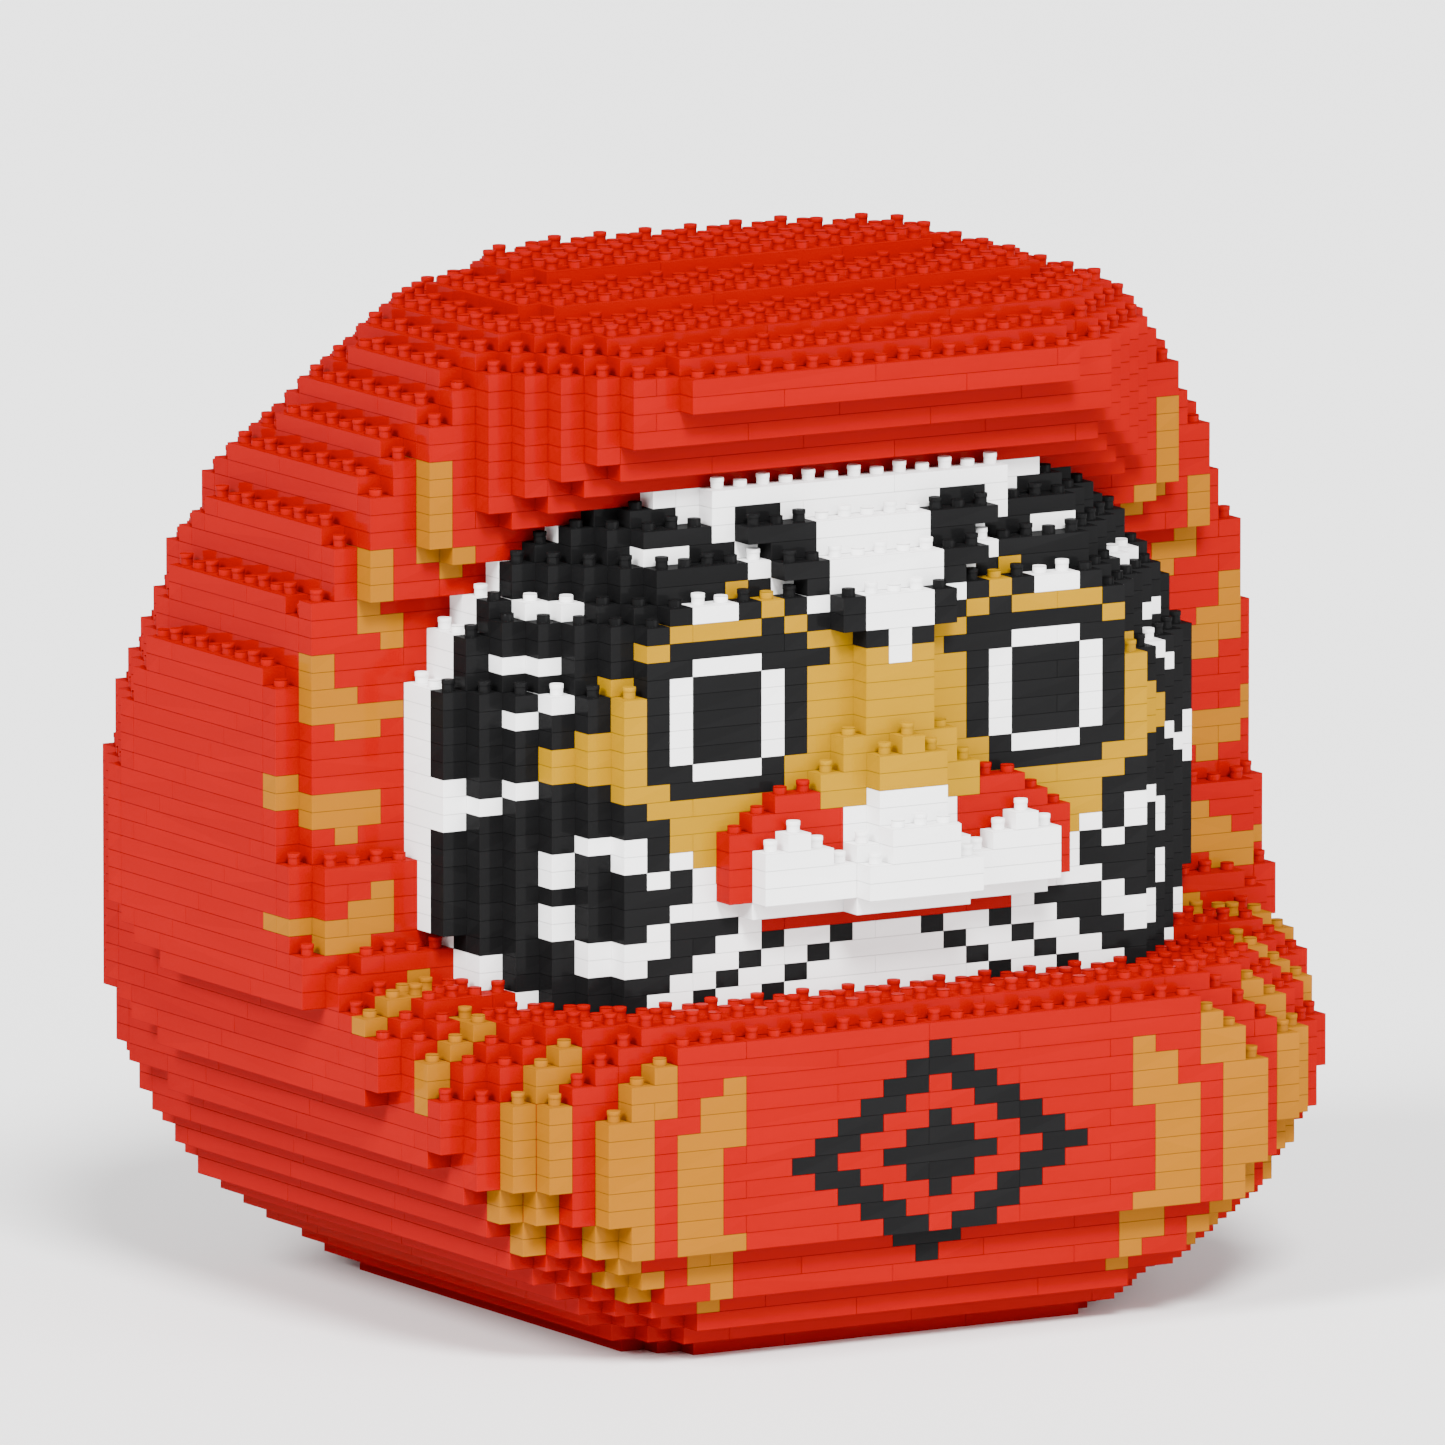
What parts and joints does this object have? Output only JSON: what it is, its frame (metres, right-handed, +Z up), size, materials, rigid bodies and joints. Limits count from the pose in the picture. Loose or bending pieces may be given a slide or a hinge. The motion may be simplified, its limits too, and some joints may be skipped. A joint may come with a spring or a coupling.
{
  "type": "brick-built daruma figure",
  "caption": "Round red daruma figure built from small studded plastic bricks, with a white, black and yellow face, gold marks and a lozenge ornament on the belly.",
  "frame": {"origin": "middle of the footprint, on the surface the figure stands on", "axes": "+X across the width, to the right of someone who faces the figure; -Y the way the face looks; +Z up"},
  "size_m": [0.215, 0.17, 0.2022],
  "materials": {
    "red_gloss": "glossy moulded red plastic",
    "tan_gold_gloss": "glossy moulded tan-gold plastic",
    "yellow_gloss": "glossy moulded yellow plastic",
    "white_gloss": "glossy moulded white plastic",
    "black_gloss": "glossy moulded black plastic",
    "core_grey": "plain grey plastic, hidden inside"
  },
  "bodies": {
    "root": {"base_plate": "core_grey", "core_lower": "core_grey", "core_middle": "core_grey", "core_upper": "core_grey", "foot_bricks": "red_gloss", "lower_belly_bricks": "red_gloss", "belly_bricks_low": "red_gloss", "belly_bricks_mid": "red_gloss", "belly_bricks_high": "red_gloss", "shelf_bricks": "red_gloss", "shoulder_bricks_1": "red_gloss", "shoulder_bricks_2": "red_gloss", "shoulder_bricks_3": "red_gloss", "shoulder_bricks_4": "red_gloss", "shoulder_bricks_5": "red_gloss", "shoulder_bricks_6": "red_gloss", "hood_bricks_1": "red_gloss", "hood_bricks_2": "red_gloss", "hood_bricks_3": "red_gloss", "visor_lower": "red_gloss", "visor_upper": "red_gloss", "roof_step_1": "red_gloss", "roof_step_2": "red_gloss", "roof_step_3": "red_gloss", "crown": "red_gloss", "belly_stripe_inner": "tan_gold_gloss", "belly_stripe_outer": "tan_gold_gloss", "side_pillars": "tan_gold_gloss", "low_feathers": "tan_gold_gloss", "mid_feathers": "tan_gold_gloss", "high_feathers": "tan_gold_gloss", "hood_feathers": "tan_gold_gloss", "belly_ornament": "black_gloss", "beard_white": "white_gloss", "beard_black": "black_gloss", "mouth": "red_gloss", "lip_white": "white_gloss", "face_rim": "white_gloss", "side_hair_black": "black_gloss", "side_hair_white": "white_gloss", "cheek_skin": "yellow_gloss", "brow_skin": "yellow_gloss", "eye_rings": "black_gloss", "eye_whites": "white_gloss", "pupils": "black_gloss", "brow_black": "black_gloss", "brow_white": "white_gloss", "crown_white": "white_gloss", "forehead_white": "white_gloss", "forehead_black": "black_gloss", "nose_bridge": "yellow_gloss", "nose_tip": "yellow_gloss", "nostrils": "red_gloss", "moustache_rear": "white_gloss", "moustache_wing": "white_gloss", "moustache_centre": "white_gloss", "moustache_front": "white_gloss"}
  },
  "joints": []
}
